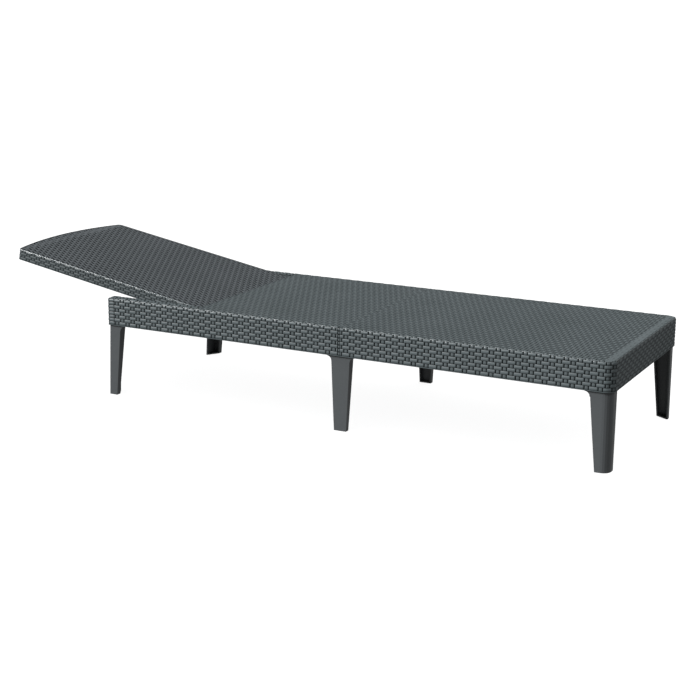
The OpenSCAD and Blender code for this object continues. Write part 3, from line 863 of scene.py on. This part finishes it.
panel = Cloth(panel_place, PANEL_WEAVE, PANEL_RELIEF, panel_woven, "backrest")
panel_half_w = PANEL_HALF_W - BEAD_IN - CLEAR
panel_span = (-panel_half_w, panel_half_w)
panel_rows = even_rows(-PANEL_TAIL, PANEL_REACH - BEAD_IN - CLEAR)
half = len(panel_rows) // 2
slab("backrest_weave_tail", panel, panel_rows[: half + 1], panel_span, starts="gap", ends="next slab")
slab("backrest_weave_head", panel, panel_rows[half:], panel_span, starts="next slab",
     limit=panel_limit, bend_from=panel_bend)

big, small, corner_y, corner_p = arch_parts(0.0)
arch_angle = math.atan2(corner_y, corner_p - ARCH_X)
skirt_path = Path(-PANEL_TAIL, -PANEL_HALF_W, 0.0, -1)
skirt_path.line(corner_p + PANEL_TAIL).arc(small, QUARTER - arch_angle).arc(big, 2 * arch_angle)
skirt_path.arc(small, QUARTER - arch_angle).line(corner_p + PANEL_TAIL)


def skirt_profile():
    """Section of the backrest's skirt: lip, woven rows, a groove and the bead."""
    top = PANEL_TOP
    groove = top - BEAD_R - 0.45
    bounds = np.linspace(PANEL_LOW + 1.9, groove - 0.25, SKIRT_ROWS + 1)
    spots = lip(PANEL_LOW, radius=0.9, cut=0.25, run=1.4)
    for v in row_places(bounds, SIDE_SHARES):
        row, across = (float(x) for x in in_rows(v, bounds))
        spots.append(Spot(0.0, v, 1, 0, row, across, SKIRT_RELIEF))
    spots.append(Spot(0.0, groove, out=1, sunk=1.0))
    for angle in np.linspace(0, QUARTER, 7):
        spots.append(Spot(BEAD_R * (1 - math.cos(angle)), top - BEAD_R * (1 - math.sin(angle))))
    return spots + [
        Spot(BEAD_IN - 0.9, top),
        Spot(BEAD_IN - 0.2, top - 0.3),
        Spot(BEAD_IN, top - 0.9),
        Spot(BEAD_IN, top - SKIN),
        Spot(SKIN, top - SKIN),
    ]


band("backrest_skirt_weave", skirt_path, skirt_profile(), from_panel, SKIRT_WEAVE, "backrest", polish=1.6)

# ---------------------------------------------------------------- CAD nodes that stay

# The longest start of a node's name that is listed here says its finish
FINISHES = {
    "leg_": leg_resin,
    "leg_screws": zinc,
    "seam_": zinc,
    "rack_": dark_plastic,
    "rack_screws": zinc,
    "hinge_pin_": dark_plastic,
    "prop_pin_": zinc,
    "prop_arm_": dark_plastic,
    "prop_crossbar": zinc,
    "prop_bush_": dark_plastic,
}
for node, obj in frame["nodes"].items():
    names = [k for k in FINISHES if node.startswith(k)]
    if names:
        obj.data.materials.clear()
        obj.data.materials.append(FINISHES[max(names, key=len)])

# ---------------------------------------------------------------- stage, light and camera


def stage_floor():
    """A pale floor, in metres. It is kept out of the bounce light and reflections on the lounger."""
    size, drop = 600.0, -0.0002
    mesh = bpy.data.meshes.new("floor")
    corners = [(-size, -size, drop), (size, -size, drop), (size, size, drop), (-size, size, drop)]
    mesh.from_pydata(corners, [], [(0, 1, 2, 3)])
    floor = bpy.data.objects.new("floor", mesh)
    bpy.context.scene.collection.objects.link(floor)
    material, _, shader = new_material("pale_floor")
    shader.inputs["Base Color"].default_value = (0.93, 0.93, 0.93, 1)
    shader.inputs["Roughness"].default_value = 0.9
    mesh.materials.append(material)
    floor.visible_diffuse = False
    floor.visible_glossy = False


def sun(name, direction, spread, strength, receivers, blockers=None):
    """A soft sun that shines along a direction on the objects in one collection."""
    light = bpy.data.lights.new(name, "SUN")
    light.energy = strength
    light.angle = math.radians(spread)
    obj = bpy.data.objects.new(name, light)
    obj.rotation_mode = "QUATERNION"
    obj.rotation_quaternion = Vector(direction).to_track_quat("-Z", "Y")
    bpy.context.scene.collection.objects.link(obj)
    obj.light_linking.receiver_collection = receivers
    if blockers:
        obj.light_linking.blocker_collection = blockers


KEY_WAY = (0.85, 0.75, -0.80)
KEY_SPREAD = 26

stage_floor()
lounger, ground = (bpy.data.collections.new(n) for n in ("lounger", "ground"))
for obj in bpy.context.scene.objects:
    if obj.type == "MESH":
        (ground if obj.name == "floor" else lounger).objects.link(obj)
sun("key", KEY_WAY, KEY_SPREAD, strength=7.2, receivers=lounger)
sun("foot_end_fill", (-0.55, 0.10, -0.80), spread=10, strength=1.1, receivers=lounger)
sun("floor_fill", KEY_WAY, KEY_SPREAD, strength=5.4, receivers=ground, blockers=ground)

world = bpy.data.worlds.new("studio")
world.use_nodes = True
sky = world.node_tree.nodes["Background"]
sky.inputs["Color"].default_value = (1, 1, 1, 1)
sky.inputs["Strength"].default_value = 0.30
bpy.context.scene.world = world
bpy.context.scene.view_settings.view_transform = "Standard"

# The camera's place in metres and its turns in degrees
CAMERA_PLACE = Vector((1.94122, -3.69191, 1.19208))
YAW, PITCH_DOWN, ROLL = (math.radians(a) for a in (26.953, 14.111, 0.616))
forward = Vector((
    -math.sin(YAW) * math.cos(PITCH_DOWN),
    math.cos(YAW) * math.cos(PITCH_DOWN),
    -math.sin(PITCH_DOWN),
))
level = Vector((math.cos(YAW), math.sin(YAW), 0))
upright = level.cross(forward)
right = level * math.cos(ROLL) + upright * math.sin(ROLL)
up = upright * math.cos(ROLL) - level * math.sin(ROLL)
camera_data = bpy.data.cameras.new("camera")
camera_data.sensor_width = 36
camera_data.lens = 77.6
camera_data.clip_end = 2000
camera = bpy.data.objects.new("camera", camera_data)
turn = Matrix((right, up, -forward)).transposed().to_4x4()
camera.matrix_world = Matrix.Translation(CAMERA_PLACE) @ turn
bpy.context.scene.collection.objects.link(camera)
bpy.context.scene.camera = camera
